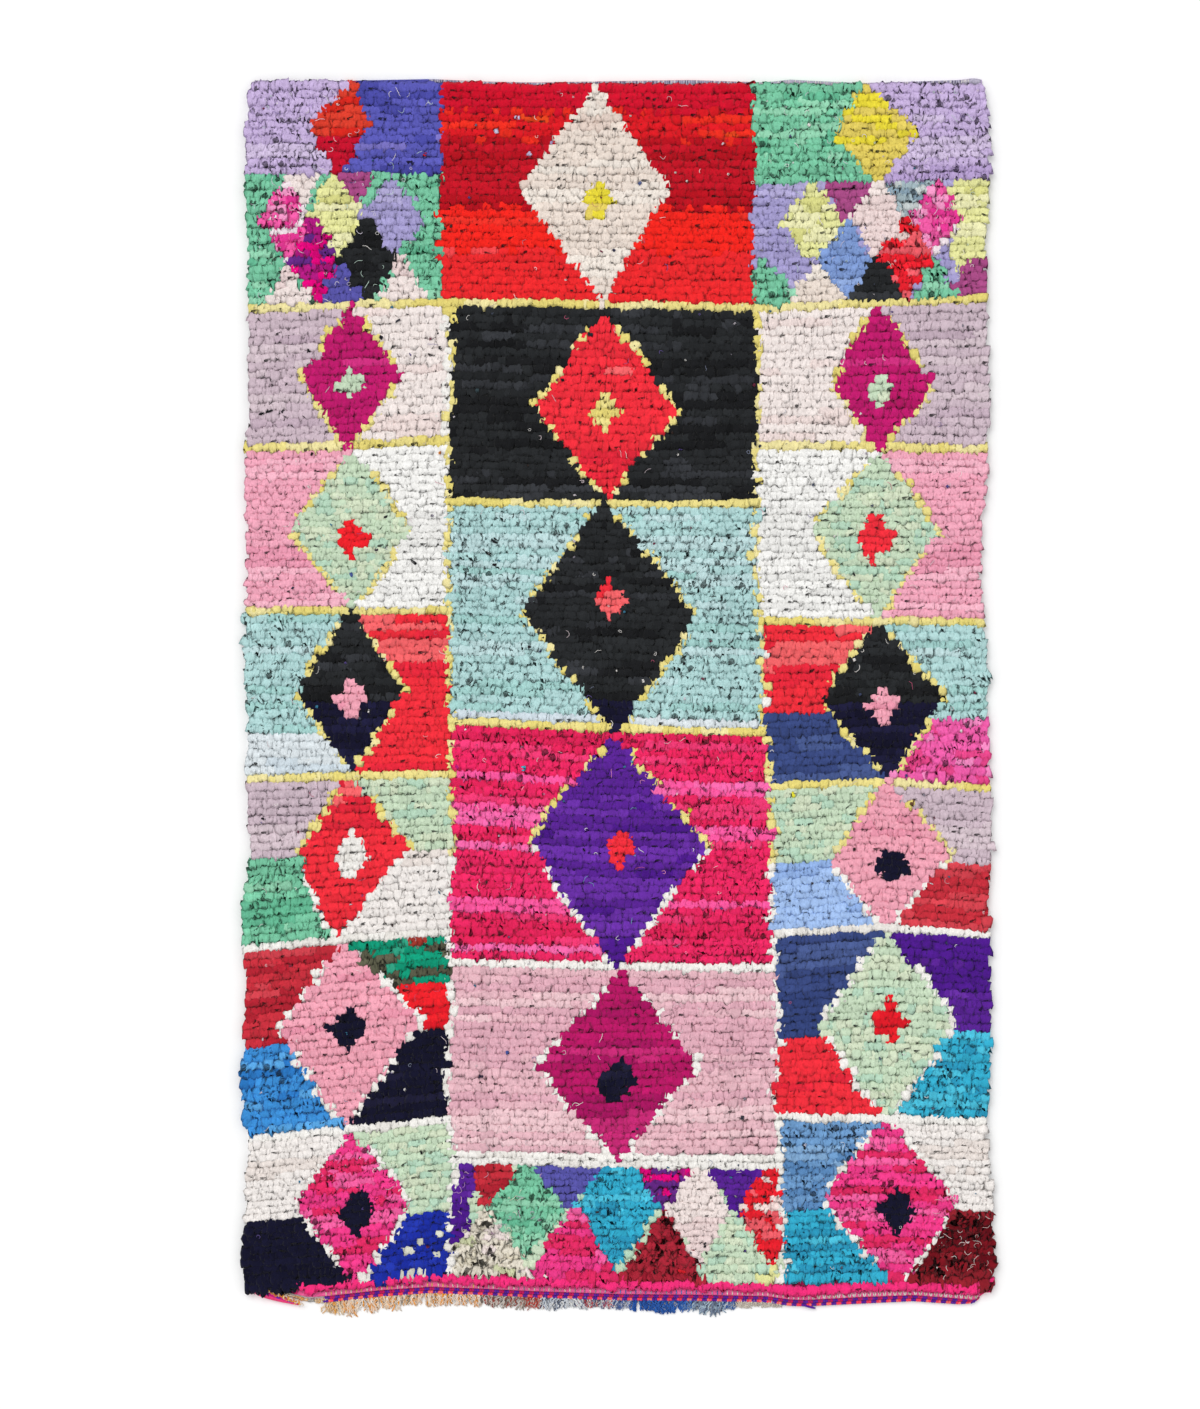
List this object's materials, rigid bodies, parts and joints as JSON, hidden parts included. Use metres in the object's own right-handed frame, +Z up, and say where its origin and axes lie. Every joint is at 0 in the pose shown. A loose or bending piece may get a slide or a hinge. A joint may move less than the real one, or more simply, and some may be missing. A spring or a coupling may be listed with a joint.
{
  "type": "boucherouite rug",
  "caption": "Flat, hand-knotted rag-pile rug with an uneven outline, a twined edging and a short warp fringe along one end.",
  "frame": {"origin": "on the underside, at the middle of the rug's box in plan", "axes": "+X across the rug, +Y along it towards the end with no fringe, +Z up out of the pile"},
  "size_m": [1.5306, 2.5404, 0.0235],
  "materials": {
    "rag_pile": "knotted strips of cotton jersey, matt, many colours",
    "edging_yarn": "twined yarn in two colours, soft sheen",
    "warp_yarn": "kinked cotton and wool yarn, matt"
  },
  "bodies": {
    "root": {"rug_body": "rag_pile", "twined_edging": "edging_yarn", "warp_fringe": "warp_yarn"}
  },
  "joints": []
}
